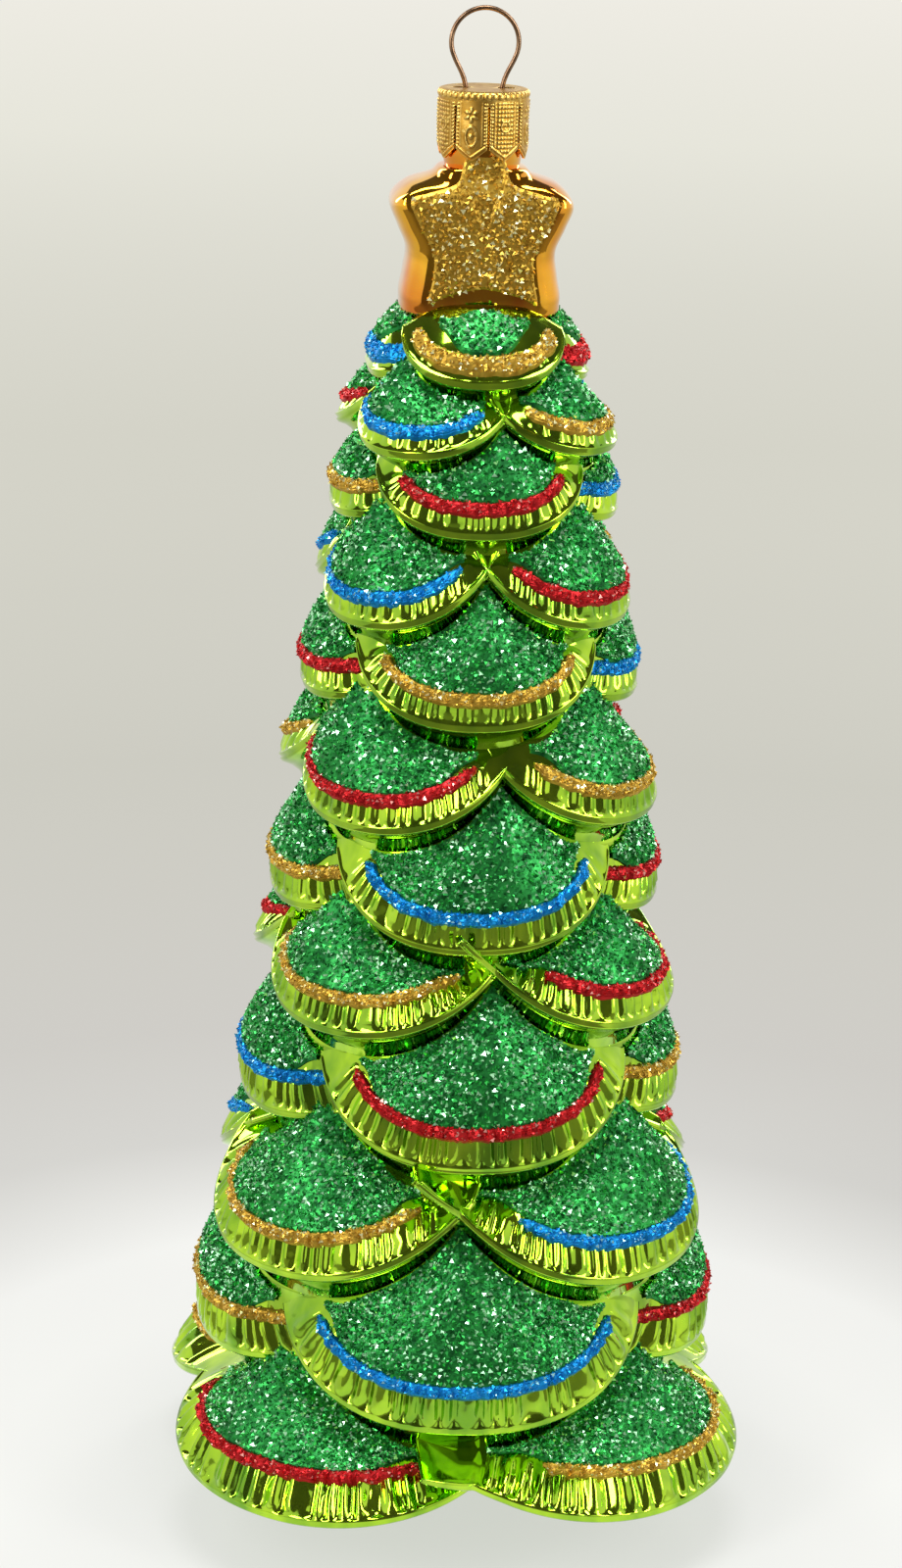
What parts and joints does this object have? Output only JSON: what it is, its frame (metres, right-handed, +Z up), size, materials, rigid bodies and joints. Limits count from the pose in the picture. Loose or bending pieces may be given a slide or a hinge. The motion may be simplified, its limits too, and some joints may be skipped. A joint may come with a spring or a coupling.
{
  "type": "christmas tree ornament",
  "caption": "Hanging blown-glass tree ornament with scale-like branches, a star on top, glued glitter, a stamped metal cap and a wire loop.",
  "frame": {"origin": "the point the ornament hangs from, at the inside top of the wire loop", "axes": "+Z up along the ornament's long axis, -Y towards the front of the star, +X to the right"},
  "size_m": [0.073, 0.073, 0.186],
  "materials": {
    "lacquered_glass": "blown glass, silvered inside and coated with clear lime green lacquer on the tree and amber lacquer on the star and neck, mirror gloss",
    "gold_cap": "thin stamped metal with an antique gold finish and embossed dots and leaves",
    "bronze_wire": "drawn spring wire with a brownish bronze tone",
    "gold_glitter": "glued gold glitter flakes",
    "green_glitter": "glued green glitter flakes with a raised stripe of gold, red or blue glitter along the lower edge"
  },
  "bodies": {
    "hanger": {"hanger": "bronze_wire"},
    "cap": {"cap": "gold_cap"},
    "glass": {"glass_body": "lacquered_glass", "star_glitter_front": "gold_glitter", "star_glitter_back": "gold_glitter", "glitter_ring_01_front": "green_glitter", "glitter_ring_01_right": "green_glitter", "glitter_ring_01_back": "green_glitter", "glitter_ring_01_left": "green_glitter", "glitter_ring_02_front_right": "green_glitter", "glitter_ring_02_back_right": "green_glitter", "glitter_ring_02_back_left": "green_glitter", "glitter_ring_02_front_left": "green_glitter", "glitter_ring_03_front": "green_glitter", "glitter_ring_03_right": "green_glitter", "glitter_ring_03_back": "green_glitter", "glitter_ring_03_left": "green_glitter", "glitter_ring_04_front_right": "green_glitter", "glitter_ring_04_back_right": "green_glitter", "glitter_ring_04_back_left": "green_glitter", "glitter_ring_04_front_left": "green_glitter", "glitter_ring_05_front": "green_glitter", "glitter_ring_05_right": "green_glitter", "glitter_ring_05_back": "green_glitter", "glitter_ring_05_left": "green_glitter", "glitter_ring_06_front_right": "green_glitter", "glitter_ring_06_back_right": "green_glitter", "glitter_ring_06_back_left": "green_glitter", "glitter_ring_06_front_left": "green_glitter", "glitter_ring_07_front": "green_glitter", "glitter_ring_07_right": "green_glitter", "glitter_ring_07_back": "green_glitter", "glitter_ring_07_left": "green_glitter", "glitter_ring_08_front_right": "green_glitter", "glitter_ring_08_back_right": "green_glitter", "glitter_ring_08_back_left": "green_glitter", "glitter_ring_08_front_left": "green_glitter", "glitter_ring_09_front": "green_glitter", "glitter_ring_09_right": "green_glitter", "glitter_ring_09_back": "green_glitter", "glitter_ring_09_left": "green_glitter", "glitter_ring_10_front_right": "green_glitter", "glitter_ring_10_back_right": "green_glitter", "glitter_ring_10_back_left": "green_glitter", "glitter_ring_10_front_left": "green_glitter", "glitter_ring_11_front": "green_glitter", "glitter_ring_11_right": "green_glitter", "glitter_ring_11_back": "green_glitter", "glitter_ring_11_left": "green_glitter", "glitter_ring_12_front_right": "green_glitter", "glitter_ring_12_back_right": "green_glitter", "glitter_ring_12_back_left": "green_glitter", "glitter_ring_12_front_left": "green_glitter"}
  },
  "joints": [
    {"name": "hanger_pull", "type": "slide", "parent": "hanger", "child": "cap", "axis": [0, 0, -1], "range_m": [0, 0.017]},
    {"name": "cap_pull", "type": "slide", "parent": "cap", "child": "glass", "axis": [0, 0, -1], "range_m": [0, 0.02]}
  ]
}
